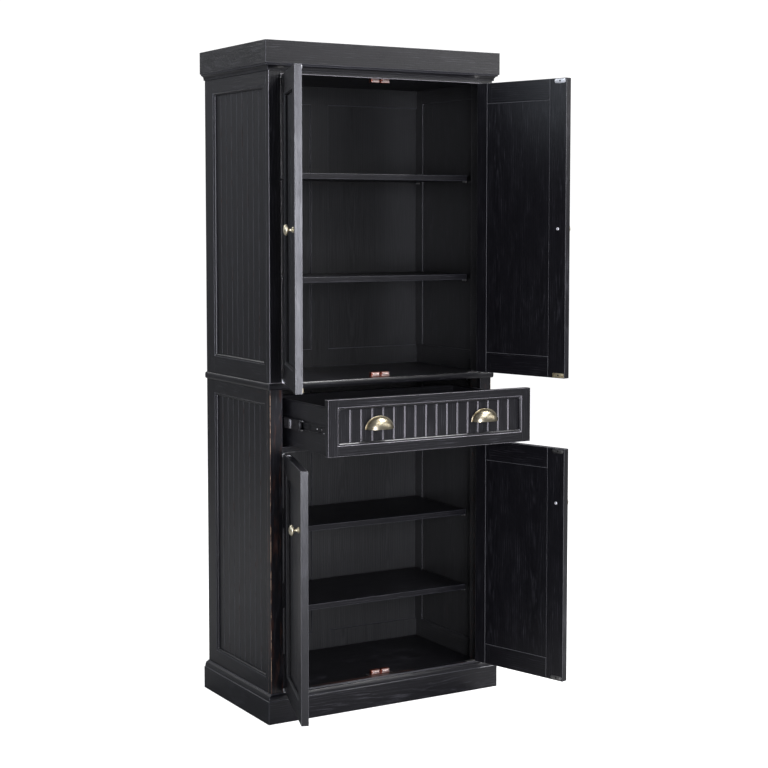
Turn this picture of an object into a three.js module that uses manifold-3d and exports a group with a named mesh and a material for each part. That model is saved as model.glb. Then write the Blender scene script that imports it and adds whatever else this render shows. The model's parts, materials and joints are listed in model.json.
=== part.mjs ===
// A tall pantry cabinet: two framed compartments with paired doors, and a drawer between them.
// Millimetres, +Z up, front towards -Y, origin on the floor at the centre of the footprint.
// The doors and the drawer stand open, and their joints measure from there.
import * as THREE from "three";
import { mergeVertices } from "three/addons/utils/BufferGeometryUtils.js";
import Module from "manifold-3d";

const wasm = await Module();
wasm.setup();

// ---- Overall sizes ----
const WIDTH = 740;
const DEPTH = 422;
const HEIGHT = 1829;
const MOULDING = 15.5; // how far the crown and the plinth stand proud of the carcass
const BOARD = 18.5; // thickness of the framed boards of the carcass

const BACK = DEPTH / 2;
const FRONT = MOULDING - DEPTH / 2;
const HALF = WIDTH / 2 - MOULDING;
const INNER = HALF - BOARD;
const FRAME_REAR = FRONT + BOARD;
const STILE = 36.5; // face-frame stile
const OPENING = HALF - STILE;
const POST_REAR = -145;
const BACK_FACE = 184;
const BACK_REAR = 205;
const BACK_RAISE = 6;
const BACK_RAIL = 52;
const BACK_MUNTIN = 58;

// ---- Heights ----
const BASE = 18;
const FLOOR = 70;
const BOTTOM_RAIL = 80;
const PLINTH_FLAT = 61;
const MID_RAIL = [734, 749];
const WAIST = [904, 922];
const CEILING = 1746;
const CEILING_BOARD = 18;
const FLOOR_BOARD = 18;
const TOP_RAIL = 1743;
const CROWN = 1751;
const TOP_BOARD = 18;
const SHELF = 15;
const SHELF_TOPS = {
  upper_high_shelf: 1485,
  upper_low_shelf: 1199,
  lower_high_shelf: 507,
  lower_low_shelf: 284,
};
const SHELF_FRONT = -100;
const SHELF_HALF = 333;

// ---- Doors ----
const DOOR = { width: 315, thickness: 19, edgeGap: 1.5, rail: 59, freeStile: 59, hingeStile: 53 };
const DOOR_LEVELS = { upper: [925, 1740], lower: [83, 731] };
const PIVOT = { x: OPENING + 0.5, y: FRONT - 2.5 };
const OPEN_DEGREES = { upper_left: 111.5, lower_left: 109.3, upper_right: 106, lower_right: 106.2 };
const KNOB_LEVELS = { upper: 1333, lower: 579 };
const KNOB_FROM_FREE_EDGE = 27;
const HINGE = { knuckle: 2.2, drop: 8, leaf: 1.2, clear: 0.4, length: 40 };

// ---- Drawer ----
const DRAWER_OPEN = 252;
const DRAWER = { half: 314.5, bottom: 752, top: 899, front: 19, stile: 35.5, rail: 34, topRail: 28 };
const BOX = { half: 305, side: 12, bottom: 754, top: 877, rear: 173.5, panel: 6, groove: 5, panelUp: 12 };
const PULL = { x: 164, bottom: 817, width: 86, height: 34, reach: 25, wall: 1.8 };
const SLIDE = { top: 835, bottom: 799, front: -176, rear: 174, sheet: 1.2 };

// ---- Colours ----
const paint = () => new THREE.MeshStandardMaterial({ color: 0x17171c, roughness: 0.45, metalness: 0 });
const brass = () => new THREE.MeshStandardMaterial({ color: 0x9a8350, roughness: 0.35, metalness: 1 });
const steel = () => new THREE.MeshStandardMaterial({ color: 0x2a2b2e, roughness: 0.4, metalness: 0.9 });
const copper = () => new THREE.MeshStandardMaterial({ color: 0x8a4a3a, roughness: 0.4, metalness: 0.8 });

const root = new THREE.Group();
const SIDES = [
  ["left", -1],
  ["right", 1],
];

// ---- Geometry helpers ----

function named(name, geometry, material) {
  const mesh = new THREE.Mesh(geometry, material);
  mesh.name = name;
  return mesh;
}

function box(x0, x1, y0, y1, z0, z1) {
  return new THREE.BoxGeometry(x1 - x0, y1 - y0, z1 - z0).translate(
    (x0 + x1) / 2,
    (y0 + y1) / 2,
    (z0 + z1) / 2,
  );
}

function toSolid(geometry) {
  const bare = geometry.clone();
  bare.deleteAttribute("normal");
  bare.deleteAttribute("uv");
  const merged = mergeVertices(bare, 1e-4);
  return new wasm.Manifold(
    new wasm.Mesh({
      numProp: 3,
      vertProperties: merged.attributes.position.array,
      triVerts: new Uint32Array(merged.index.array),
    }),
  );
}

function toGeometry(solid) {
  const mesh = solid.getMesh();
  return new THREE.BufferGeometry()
    .setAttribute("position", new THREE.BufferAttribute(mesh.vertProperties, 3))
    .setIndex(new THREE.BufferAttribute(mesh.triVerts, 1));
}

function join(...pieces) {
  return toGeometry(pieces.map(toSolid).reduce((whole, piece) => whole.add(piece)));
}

function cut(piece, ...holes) {
  return toGeometry(holes.map(toSolid).reduce((whole, hole) => whole.subtract(hole), toSolid(piece)));
}

// An outline in plan, raised from z0 to z1.
function raised(points, z0, z1) {
  const shape = new THREE.Shape(points.map(([x, y]) => new THREE.Vector2(x, y)));
  return new THREE.ExtrudeGeometry(shape, { depth: z1 - z0, bevelEnabled: false }).translate(0, 0, z0);
}

// An outline in X and Z, run along Y from y0 to y1.
function runAlongY(points, y0, y1) {
  const shape = new THREE.Shape(points.map(([x, z]) => new THREE.Vector2(x, z)));
  return new THREE.ExtrudeGeometry(shape, { depth: y1 - y0, bevelEnabled: false })
    .rotateX(Math.PI / 2)
    .translate(0, y1, 0);
}

// A section of [outward, along-axis] points run round mitred corners. A corner's `out` is how far it moves
// for each millimetre outward, and `axis` is the direction of the section's second coordinate.
function mitred(section, corners, axis, closed) {
  const count = section.length;
  const positions = corners.flatMap(({ at, out }) =>
    section.flatMap(([a, b]) => [0, 1, 2].map((k) => at[k] + a * out[k] + b * axis[k])),
  );
  const index = [];
  const spans = closed ? corners.length : corners.length - 1;
  for (let i = 0; i < spans; i++) {
    const here = i * count;
    const next = ((i + 1) % corners.length) * count;
    for (let j = 0; j < count; j++) {
      const k = (j + 1) % count;
      index.push(here + j, next + j, next + k, here + j, next + k, here + k);
    }
  }
  if (!closed) {
    const last = (corners.length - 1) * count;
    const flat = section.map(([a, b]) => new THREE.Vector2(a, b));
    THREE.ShapeUtils.triangulateShape(flat, []).forEach(([a, b, c]) => {
      index.push(a, b, c, last + c, last + b, last + a);
    });
  }
  return new THREE.BufferGeometry()
    .setAttribute("position", new THREE.Float32BufferAttribute(positions, 3))
    .setIndex(index);
}

// A quarter-round run of points from one corner to the other, bulging away from `centre`.
function quarter(centre, radiusOut, radiusUp, steps) {
  return Array.from({ length: steps + 1 }, (_, i) => {
    const turn = (i / steps) * (Math.PI / 2);
    return [centre[0] + radiusOut * Math.cos(turn), centre[1] + radiusUp * Math.sin(turn)];
  });
}

// A moulding round the front and both sides of the carcass, flush with its back.
function wrapCarcass(section) {
  const corners = [
    { at: [-HALF, BACK, 0], out: [-1, 0, 0] },
    { at: [-HALF, FRONT, 0], out: [-1, -1, 0] },
    { at: [HALF, FRONT, 0], out: [1, -1, 0] },
    { at: [HALF, BACK, 0], out: [1, 0, 0] },
  ];
  return mitred(section, corners, [0, 0, 1], false);
}

// A framed board: show face at y = 0, thickness towards +y. `sight` is the window seen from the front,
// `moulded` the section round it as [outward from the window, depth] points, from 0 to OVERLAP outward.
const PLATE_EDGE = 12;
const OVERLAP = 16;

function framedBoard(outer, sight, thickness, moulded) {
  const [x0, x1, z0, z1] = outer;
  const [u0, u1, v0, v1] = sight;
  const plate = cut(
    box(x0, x1, 0, thickness, z0, z1),
    box(u0 - PLATE_EDGE, u1 + PLATE_EDGE, -1, thickness + 1, v0 - PLATE_EDGE, v1 + PLATE_EDGE),
  );
  const corners = [
    { at: [u0, 0, v0], out: [-1, 0, -1] },
    { at: [u1, 0, v0], out: [1, 0, -1] },
    { at: [u1, 0, v1], out: [1, 0, 1] },
    { at: [u0, 0, v1], out: [-1, 0, 1] },
  ];
  return join(plate, mitred(moulded, corners, [0, 1, 0], true));
}

// The bead along a framed board's window, from the show face down to `depth`.
function bead(depth) {
  return [
    [7, 0],
    [7, 1.6],
    [6, 1.6],
    [5, 0.7],
    [3, 0.7],
    [1, 2.2],
    [0, 4.5],
    [0, depth],
  ];
}

// Tongue-and-groove strips: vertical V grooves cut into the front of one board.
function beadboard(x0, x1, first, pitch, grooves, thickness, z0, z1) {
  const points = [[x0, 0]];
  for (let i = 0; i < grooves; i++) {
    const x = first + i * pitch;
    points.push([x - 1.8, 0], [x, 2.4], [x + 1.8, 0]);
  }
  points.push([x1, 0], [x1, thickness], [x0, thickness]);
  return raised(points, z0, z1);
}

// ---- Mouldings and the horizontal boards ----

function crown() {
  const section = [
    [0, CROWN],
    [4, CROWN],
    [4, CROWN + 4],
    [5, CROWN + 8],
    [8, CROWN + 11.5],
    [12, CROWN + 13],
    [12, CROWN + 16],
    [MOULDING, CROWN + 17.5],
    [MOULDING, HEIGHT],
    [0, HEIGHT],
  ];
  const into = 5; // the top board runs this far into the moulding
  const lid = box(-HALF - into, HALF + into, FRONT - into, BACK, HEIGHT - TOP_BOARD, HEIGHT);
  return join(wrapCarcass(section), lid);
}

function waistBoard() {
  const [low, high] = WAIST;
  const section = [[-10, low], [3.5, low], [5.5, low + 2], [6, low + 6], [6, high - 6], [5, high - 2], [3, high]];
  const core = box(-HALF, HALF, FRONT, BACK, low, high);
  return join(wrapCarcass([...section, [-10, high]]), core);
}

function plinth() {
  const section = [
    [0, 0],
    [MOULDING, 0],
    [MOULDING, PLINTH_FLAT],
    [14.5, PLINTH_FLAT + 1.5],
    [12.5, PLINTH_FLAT + 1.5],
    ...quarter([4, PLINTH_FLAT + 4], 8.5, 12.5, 5),
    [3.5, PLINTH_FLAT + 18.5],
    [0, PLINTH_FLAT + 18.5],
  ];
  const into = 5;
  const ledge = 40;
  const crossHalf = 30;
  const board = box(-HALF - into, HALF + into, FRONT - into, BACK, 0, BASE);
  const holeX = HALF - ledge;
  const frontHole = box(-holeX, holeX, FRONT + ledge, -crossHalf, -1, BASE + 1);
  const backHole = box(-holeX, holeX, crossHalf, BACK - ledge, -1, BASE + 1);
  return join(wrapCarcass(section), cut(board, frontHole, backHole));
}

root.add(named("crown", crown(), paint()));
root.add(named("waist_board", waistBoard(), paint()));
root.add(named("plinth", plinth(), paint()));

const ceiling = box(-INNER, INNER, FRAME_REAR, BACK_FACE, CEILING, CEILING + CEILING_BOARD);
root.add(named("upper_ceiling_board", ceiling, paint()));
const floorBoard = box(-INNER, INNER, FRAME_REAR, BACK_FACE, FLOOR - FLOOR_BOARD, FLOOR);
root.add(named("lower_floor_board", floorBoard, paint()));

for (const [name, top] of Object.entries(SHELF_TOPS)) {
  const shelf = box(-SHELF_HALF, SHELF_HALF, SHELF_FRONT, BACK_FACE - 2, top - SHELF, top);
  root.add(named(name, shelf, paint()));
}

// ---- Sides, backs and face frames of the two carcasses ----

const COMPARTMENTS = {
  upper: { from: WAIST[1], to: HEIGHT - TOP_BOARD, window: [978, 1705], inside: [WAIST[1], CEILING] },
  lower: { from: BASE, to: WAIST[0], window: [126, 859], inside: [FLOOR, WAIST[0]] },
};
const SIDE_WINDOW = [-156, 151];
const SIDE_GROOVE = { from: 7, to: 14, deep: 8 };
const SIDE_STRIPS = 9;

// A side board is drawn with its show face at y = 0, then turned to face +X.
function turnedToSide(geometry) {
  return geometry.rotateZ(Math.PI / 2).translate(HALF, 0, 0);
}

function sideFrame({ from, to, window }) {
  const section = [
    [OVERLAP, 0],
    ...bead(SIDE_GROOVE.from),
    [SIDE_GROOVE.deep, SIDE_GROOVE.from],
    [SIDE_GROOVE.deep, SIDE_GROOVE.to],
    [0, SIDE_GROOVE.to],
    [0, BOARD],
    [OVERLAP, BOARD],
  ];
  const board = framedBoard([FRAME_REAR, BACK, from, to], [...SIDE_WINDOW, ...window], BOARD, section);
  return turnedToSide(board);
}

function sidePanel({ window }) {
  const lap = SIDE_GROOVE.deep - 0.5;
  const [y0, y1] = SIDE_WINDOW;
  const pitch = (y1 - y0) / SIDE_STRIPS;
  const thickness = SIDE_GROOVE.to - SIDE_GROOVE.from;
  const board = beadboard(
    y0 - lap,
    y1 + lap,
    y0 + pitch,
    pitch,
    SIDE_STRIPS - 1,
    thickness,
    window[0] - lap,
    window[1] + lap,
  );
  return turnedToSide(board.translate(0, SIDE_GROOVE.from, 0));
}

// The rail behind each lower side that carries a drawer slide.
function slideCleat() {
  return box(OPENING, INNER + 1, POST_REAR, BACK_FACE, SLIDE.bottom - 5, SLIDE.top + 5);
}

// A back board with its frame raised on the inside: a rail at each end and a muntin in the middle.
function backBoard({ from, to, inside: [low, high] }) {
  const panel = box(-INNER, INNER, BACK_FACE + BACK_RAISE, BACK_REAR, from, to);
  const raise = (x, z0, z1) => box(-x, x, BACK_FACE, BACK_FACE + BACK_RAISE + 1, z0, z1);
  const bottomRail = raise(INNER, from, low + BACK_RAIL);
  const topRail = raise(INNER, high - BACK_RAIL, to);
  const muntin = raise(BACK_MUNTIN / 2, low, high);
  return join(panel, topRail, bottomRail, muntin);
}

// Two stiles with a post behind each, the rails between them, and any block glued behind a rail.
function faceFrame({ from, to, inside }, rails, blocks = []) {
  const pieces = SIDES.flatMap(([, sign]) => {
    const [inner, outer] = [sign * OPENING, sign * HALF].sort((a, b) => a - b);
    const [near, far] = [sign * OPENING, sign * INNER].sort((a, b) => a - b);
    return [
      box(inner, outer, FRONT, FRAME_REAR, from, to),
      box(near, far, FRAME_REAR - 1, POST_REAR, ...inside),
    ];
  });
  const bars = rails.map(([rear, low, high]) => box(-OPENING - 1, OPENING + 1, FRONT, rear, low, high));
  return join(...pieces, ...bars, ...blocks);
}

for (const [level, size] of Object.entries(COMPARTMENTS)) {
  root.add(named(`${level}_back`, backBoard(size), paint()));
  for (const [side, sign] of SIDES) {
    const half = new THREE.Group();
    half.scale.x = sign;
    const frame = level === "lower" ? join(sideFrame(size), slideCleat()) : sideFrame(size);
    half.add(named(`${level}_${side}_side_frame`, frame, paint()));
    half.add(named(`${level}_${side}_side_panel`, sidePanel(size), paint()));
    root.add(half);
  }
}

const STRETCHER_REAR = -120; // the middle rail is deep enough to carry a catch
const upperRails = [[FRAME_REAR, TOP_RAIL, HEIGHT - TOP_BOARD]];
const lowerRails = [
  [FRAME_REAR, BASE, BOTTOM_RAIL],
  [STRETCHER_REAR, ...MID_RAIL],
];
root.add(named("upper_face_frame", faceFrame(COMPARTMENTS.upper, upperRails), paint()));
const catchBlock = box(-40, 40, FRAME_REAR - 1, -155, FLOOR, BOTTOM_RAIL); // lifts the catch to the rail's top
root.add(named("lower_face_frame", faceFrame(COMPARTMENTS.lower, lowerRails, [catchBlock]), paint()));

// ---- Door catches ----

// A double catch on a flat plate: two housings with a nose each. It stands on z = 0, nose towards -y.
function catchPiece() {
  const plate = box(-31, 31, 0, 17, 0, 2);
  const housings = [-1, 1].map((sign) => box(sign * 14 - 12, sign * 14 + 12, 1, 16, 1, 13));
  const noses = [-1, 1].map((sign) =>
    new THREE.CylinderGeometry(3, 3, 14, 12).rotateZ(Math.PI / 2).translate(sign * 14, 2, 7),
  );
  const bridge = box(-6, 6, 4, 14, 1, 8);
  return join(plate, ...housings, ...noses, bridge);
}

const CATCH_FRONT = FRAME_REAR + 2.5;
const CATCHES = [
  ["upper_top_catch", CEILING, -1],
  ["upper_bottom_catch", WAIST[1], 1],
  ["lower_top_catch", MID_RAIL[0], -1],
  ["lower_bottom_catch", BOTTOM_RAIL, 1],
];
for (const [name, level, up] of CATCHES) {
  const piece = named(name, catchPiece(), copper());
  piece.position.set(0, CATCH_FRONT, level);
  piece.scale.z = up;
  root.add(piece);
}

// ---- Doors ----

// A door is drawn from its hinge line: x along its width, y through its thickness, z at its true height.
const DOOR_PANEL = { from: 8, to: 18.7 }; // its back is almost flush with the frame's
const DOOR_STRIPS = 6;
const SIGHT_FROM = DOOR.edgeGap + DOOR.hingeStile;
const SIGHT_TO = DOOR.edgeGap + DOOR.width - DOOR.freeStile;
const DOOR_REBATE = 2;
const HINGE_REBATE = 17;
const JOINT_LINE = { half: 0.5, depth: 1.2 };

function doorFrame([low, high]) {
  const outer = [DOOR.edgeGap, DOOR.edgeGap + DOOR.width, low, high];
  const sight = [SIGHT_FROM, SIGHT_TO, low + DOOR.rail, high - DOOR.rail];
  const section = [
    [OVERLAP, 0],
    ...bead(DOOR_PANEL.from),
    [DOOR_REBATE, DOOR_PANEL.from],
    [DOOR_REBATE, DOOR.thickness],
    [OVERLAP, DOOR.thickness],
  ];
  const frame = framedBoard(outer, sight, DOOR.thickness, section);
  const hingeSide = box(
    SIGHT_FROM - HINGE_REBATE,
    SIGHT_FROM,
    DOOR_PANEL.from,
    DOOR.thickness + 1,
    low + DOOR.rail - DOOR_REBATE,
    high - DOOR.rail + DOOR_REBATE,
  );
  const { half, depth } = JOINT_LINE;
  const jointLines = [SIGHT_FROM - HINGE_REBATE, SIGHT_TO + DOOR_REBATE].map((x) =>
    box(x - half, x + half, DOOR.thickness - depth, DOOR.thickness + 1, low - 1, high + 1),
  );
  return cut(frame, hingeSide, ...jointLines);
}

function doorPanel([low, high]) {
  const pitch = (SIGHT_TO - SIGHT_FROM) / DOOR_STRIPS;
  return beadboard(
    SIGHT_FROM - HINGE_REBATE + 0.3,
    SIGHT_TO + DOOR_REBATE - 0.3,
    SIGHT_FROM + pitch,
    pitch,
    DOOR_STRIPS - 1,
    DOOR_PANEL.to - DOOR_PANEL.from - 0.3,
    low + DOOR.rail - DOOR_REBATE + 0.3,
    high - DOOR.rail + DOOR_REBATE - 0.3,
  ).translate(0, DOOR_PANEL.from + 0.3, 0);
}

// A mushroom knob with a foot, a waisted stem and a domed cap, pointing along -y.
function knob() {
  const profile = [
    [0, 0],
    [8, 0],
    [8, 2],
    [5, 4],
    [4.5, 10],
    [6, 14],
    [12, 16],
    [14, 19],
    [13, 22],
    [8, 25],
    [0, 26],
  ];
  return new THREE.LatheGeometry(
    profile.map(([r, h]) => new THREE.Vector2(r, h)),
    20,
  ).rotateX(Math.PI);
}

// A pivot hinge: a leaf lying on the end of the door, and a knuckle standing on the hinge line in front of it.
// It is drawn for the door's top end at z = 0.
function hinge() {
  const low = HINGE.clear;
  const high = HINGE.clear + HINGE.leaf;
  const leaf = box(HINGE.leaf, HINGE.length, 4.5, 17, low, high);
  const neck = box(0.8, 8, -1, 8, low, high);
  const knuckle = new THREE.CylinderGeometry(HINGE.knuckle, HINGE.knuckle, HINGE.drop + high, 16)
    .rotateX(Math.PI / 2)
    .translate(0, 0, (high - HINGE.drop) / 2);
  return join(leaf, neck, knuckle);
}

function door(level, side, sign) {
  const [low, high] = DOOR_LEVELS[level];
  const name = `${level}_${side}_door`;
  const leaf = new THREE.Group(); // set back from the hinge line by the knuckle
  leaf.position.y = FRONT - PIVOT.y;
  leaf.add(named(`${name}_frame`, doorFrame([low, high]), paint()));
  leaf.add(named(`${name}_panel`, doorPanel([low, high]), paint()));
  const handle = named(`${name}_knob`, knob(), brass());
  const handleX = DOOR.edgeGap + DOOR.width - KNOB_FROM_FREE_EDGE;
  handle.position.set(handleX, -0.3, KNOB_LEVELS[level]);
  leaf.add(handle);

  const swing = new THREE.Group();
  swing.position.set(PIVOT.x, PIVOT.y, 0);
  swing.rotation.z = THREE.MathUtils.degToRad(OPEN_DEGREES[`${level}_${side}`]);
  swing.scale.x = -1;
  swing.add(leaf);
  for (const [end, height, up] of [["top", high, 1], ["bottom", low, -1]]) {
    const piece = named(`${name}_${end}_hinge`, hinge(), steel());
    piece.position.z = height;
    piece.scale.z = up;
    swing.add(piece);
  }
  const half = new THREE.Group();
  half.scale.x = sign;
  half.add(swing);
  return half;
}

for (const level of Object.keys(DOOR_LEVELS)) {
  for (const [side, sign] of SIDES) {
    root.add(door(level, side, sign));
  }
}

// ---- Drawer ----

const drawer = new THREE.Group();
drawer.position.y = -DRAWER_OPEN;
root.add(drawer);

const REBATE = 6;
const DRAWER_PANEL = { from: 8, to: 14, strips: 17 };
const DRAWER_SIGHT = [
  -DRAWER.half + DRAWER.stile,
  DRAWER.half - DRAWER.stile,
  DRAWER.bottom + DRAWER.rail,
  DRAWER.top - DRAWER.topRail,
];

function drawerFrontFrame() {
  const outer = [-DRAWER.half, DRAWER.half, DRAWER.bottom, DRAWER.top];
  const section = [
    [OVERLAP, 0],
    ...bead(DRAWER_PANEL.from),
    [REBATE, DRAWER_PANEL.from],
    [REBATE, DRAWER_PANEL.to],
    [0, DRAWER_PANEL.to],
    [0, DRAWER.front],
    [OVERLAP, DRAWER.front],
  ];
  return framedBoard(outer, DRAWER_SIGHT, DRAWER.front, section).translate(0, FRONT, 0);
}

function drawerFrontPanel() {
  const [x0, x1, z0, z1] = DRAWER_SIGHT;
  const pitch = (x1 - x0) / DRAWER_PANEL.strips;
  const lap = REBATE - 0.5;
  return beadboard(
    x0 - lap,
    x1 + lap,
    x0 + pitch,
    pitch,
    DRAWER_PANEL.strips - 1,
    DRAWER_PANEL.to - DRAWER_PANEL.from,
    z0 - lap,
    z1 + lap,
  ).translate(0, FRONT + DRAWER_PANEL.from, 0);
}

// The right-hand side of the box, with the groove that holds the bottom.
function drawerSide() {
  const inside = BOX.half - BOX.side;
  const low = BOX.bottom + BOX.panelUp;
  const high = low + BOX.panel;
  const points = [
    [inside, BOX.bottom],
    [BOX.half, BOX.bottom],
    [BOX.half, BOX.top - 2],
    [BOX.half - 2, BOX.top],
    [inside + 2, BOX.top],
    [inside, BOX.top - 2],
    [inside, high],
    [inside + BOX.groove, high],
    [inside + BOX.groove, low],
    [inside, low],
  ];
  return runAlongY(points, FRONT + DRAWER.front, BOX.rear);
}

const boxFront = FRONT + DRAWER.front;
const boxInside = BOX.half - BOX.side;
const bottomHalf = boxInside + BOX.groove - 0.5;
const bottomLow = BOX.bottom + BOX.panelUp;
const backFront = BOX.rear - BOX.side;

drawer.add(named("drawer_front_frame", drawerFrontFrame(), paint()));
drawer.add(named("drawer_front_panel", drawerFrontPanel(), paint()));
drawer.add(
  named("drawer_bottom", box(-bottomHalf, bottomHalf, boxFront, BOX.rear, bottomLow, bottomLow + BOX.panel), paint()),
);
drawer.add(
  named("drawer_back", box(-boxInside, boxInside, backFront, BOX.rear, bottomLow + BOX.panel, BOX.top), paint()),
);

// A cup pull: a half dome with its mouth down, on a thin rim.
function cupPull() {
  const dome = (inset) =>
    new THREE.SphereGeometry(1, 28, 14)
      .rotateX(Math.PI / 2)
      .scale(PULL.width / 2 - 3 - inset, PULL.reach - inset, PULL.height - 3 - inset);
  const rim = new THREE.CylinderGeometry(1, 1, PULL.wall, 36)
    .scale(PULL.width / 2, 1, PULL.height)
    .translate(0, -PULL.wall / 2, 0);
  const span = PULL.width;
  const solid = toSolid(dome(0)).add(toSolid(rim)).subtract(toSolid(dome(PULL.wall)));
  const behindWall = toSolid(box(-span, span, 0, span, -span, span));
  const below = toSolid(box(-span, span, -span, span, -span, 0));
  return toGeometry(solid.subtract(behindWall).subtract(below));
}

// ---- Drawer slides ----

// One channel of a telescopic slide, open towards -x when `open` is -1. `web` is its flat outer face.
function channel(web, open, flange, margin, front, rear) {
  const x = (depth) => web + open * depth;
  const [low, high] = [SLIDE.bottom + margin, SLIDE.top - margin];
  const s = SLIDE.sheet;
  const points = [
    [x(0), low],
    [x(flange), low],
    [x(flange), low + s],
    [x(s), low + s],
    [x(s), high - s],
    [x(flange), high - s],
    [x(flange), high],
    [x(0), high],
  ];
  return runAlongY(open > 0 ? points : points.reverse(), front, rear);
}

const MIDDLE = { web: 315.4, flange: 7.4, margin: 3.6, front: -161, rear: 169 };
const INNER_MEMBER = { flange: 6.5, margin: 7.6, front: -170 };

for (const [side, sign] of SIDES) {
  const fixedHalf = new THREE.Group();
  fixedHalf.scale.x = sign;
  const outer = channel(OPENING, -1, 9, 0, SLIDE.front, SLIDE.rear);
  fixedHalf.add(named(`${side}_slide_outer`, outer, steel()));
  const middle = channel(MIDDLE.web, -1, MIDDLE.flange, MIDDLE.margin, MIDDLE.front, MIDDLE.rear);
  const middlePiece = named(`${side}_slide_middle`, middle, steel());
  middlePiece.position.y = -DRAWER_OPEN / 2;
  fixedHalf.add(middlePiece);
  root.add(fixedHalf);

  const movingHalf = new THREE.Group();
  movingHalf.scale.x = sign;
  const { flange, margin, front } = INNER_MEMBER;
  const inner = channel(BOX.half, 1, flange, margin, front, BOX.rear);
  movingHalf.add(named(`${side}_slide_inner`, inner, steel()));
  movingHalf.add(named(`drawer_${side}_side`, drawerSide(), paint()));
  const pull = named(`drawer_${side}_pull`, cupPull(), brass());
  pull.position.set(PULL.x, FRONT - 0.3, PULL.bottom);
  movingHalf.add(pull);
  drawer.add(movingHalf);
}

export default root;
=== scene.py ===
"""Looks of the pantry cabinet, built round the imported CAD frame.

Metres, +Z up, front towards -Y. The boards keep their CAD nodes, with rounded arrises and painted oak, and
the hinges and slides keep theirs, in metal. The knobs, cup pulls and catches are modelled again in detail.
Screws, strikes, hinge leaves, slide balls, shelf pins and cams are added.
"""

import json
import math

import bmesh
import bpy
from mathutils import Matrix, Vector


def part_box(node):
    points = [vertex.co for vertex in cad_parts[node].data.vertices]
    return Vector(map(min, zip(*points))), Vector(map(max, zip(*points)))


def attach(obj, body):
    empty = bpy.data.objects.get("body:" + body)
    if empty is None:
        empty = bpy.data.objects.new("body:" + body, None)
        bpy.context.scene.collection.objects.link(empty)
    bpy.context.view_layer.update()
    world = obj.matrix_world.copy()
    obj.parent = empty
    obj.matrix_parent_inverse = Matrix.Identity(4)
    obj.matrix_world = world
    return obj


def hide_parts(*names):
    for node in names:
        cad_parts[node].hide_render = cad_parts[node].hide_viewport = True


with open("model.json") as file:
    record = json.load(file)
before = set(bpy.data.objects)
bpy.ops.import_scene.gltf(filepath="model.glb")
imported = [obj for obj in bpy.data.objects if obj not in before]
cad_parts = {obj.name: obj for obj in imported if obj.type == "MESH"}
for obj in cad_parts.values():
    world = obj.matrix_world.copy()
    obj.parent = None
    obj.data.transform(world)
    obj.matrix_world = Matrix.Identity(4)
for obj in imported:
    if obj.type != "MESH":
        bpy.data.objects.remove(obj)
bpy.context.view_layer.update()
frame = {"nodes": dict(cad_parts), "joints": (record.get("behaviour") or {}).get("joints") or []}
nodes = frame["nodes"]
joints = {joint["name"]: joint for joint in frame["joints"]}

MM = 0.001
LEVELS = ("upper", "lower")
SIDES = (("left", -1), ("right", 1))
IDENTITY = Matrix.Identity(4)


# ---- Node-tree helpers ----

class Tree:
    """A node tree, with one call per node. Inputs are values, or sockets to link."""

    def __init__(self, tree):
        self.tree = tree

    def add(self, kind, inputs=None, **settings):
        node = self.tree.nodes.new("ShaderNode" + kind)
        for name, value in settings.items():
            setattr(node, name, value)
        for key, value in (inputs or {}).items():
            if isinstance(value, bpy.types.NodeSocket):
                self.tree.links.new(value, node.inputs[key])
            else:
                node.inputs[key].default_value = value
        return node

    def math(self, operation, first, second=0.0, clamp=False):
        return self.add("Math", {0: first, 1: second}, operation=operation, use_clamp=clamp).outputs[0]

    def blend(self, factor, first, second):
        """A number between `first` and `second`."""
        return self.add("Mix", {0: factor, 2: first, 3: second}, data_type="FLOAT").outputs[0]

    def blend_vector(self, factor, first, second):
        return self.add("Mix", {0: factor, 4: first, 5: second}, data_type="VECTOR").outputs[1]

    def blend_colour(self, factor, first, second):
        return self.add("Mix", {0: factor, 6: first, 7: second}, data_type="RGBA").outputs[2]

    def ramp(self, value, low, high):
        """0 at `low` and 1 at `high`, smooth between them."""
        inputs = {0: value, 1: low, 2: high}
        return self.add("MapRange", inputs, interpolation_type="SMOOTHSTEP").outputs[0]

    def noise(self, vector, scale, detail=2.0, roughness=0.5):
        """Noise stretched by `scale`, cells per metre on each axis."""
        stretched = self.add("VectorMath", {0: vector, 1: scale}, operation="MULTIPLY").outputs[0]
        inputs = {"Vector": stretched, "Scale": 1.0, "Detail": detail, "Roughness": roughness}
        return self.add("TexNoise", inputs).outputs[0]


def new_material(name):
    material = bpy.data.materials.new(name)
    material.use_nodes = True
    material.node_tree.nodes.clear()
    return material, Tree(material.node_tree)


def finish_material(tree, inputs):
    shader = tree.add("BsdfPrincipled", inputs)
    tree.add("OutputMaterial", {"Surface": shader.outputs[0]})


# ---- Camera, floor and light ----

LENS_MM = 76.95
SENSOR_MM = 36
LENS_SHIFT = -0.0632  # keeps the uprights nearly parallel, as in the photograph
CAMERA_PLACE = (-2.294, -4.105, 1.363)
CAMERA_DOWN = 4.1  # degrees below level
CAMERA_RIGHT = 30.38  # degrees to the right of straight back
FAR_LIMIT = 60
FLOOR_HALF = 30


def make_camera():
    """The photograph's view: from the front left, a little below the top of the cabinet."""
    data = bpy.data.cameras.new("camera")
    data.lens = LENS_MM
    data.sensor_width = SENSOR_MM
    data.shift_y = LENS_SHIFT
    data.clip_end = FAR_LIMIT
    camera = bpy.data.objects.new("camera", data)
    camera.location = CAMERA_PLACE
    pitch_down = math.radians(CAMERA_DOWN)
    turn_right = math.radians(CAMERA_RIGHT)
    camera.rotation_euler = (math.pi / 2 - pitch_down, 0, -turn_right)
    bpy.context.collection.objects.link(camera)
    bpy.context.scene.camera = camera


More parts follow.
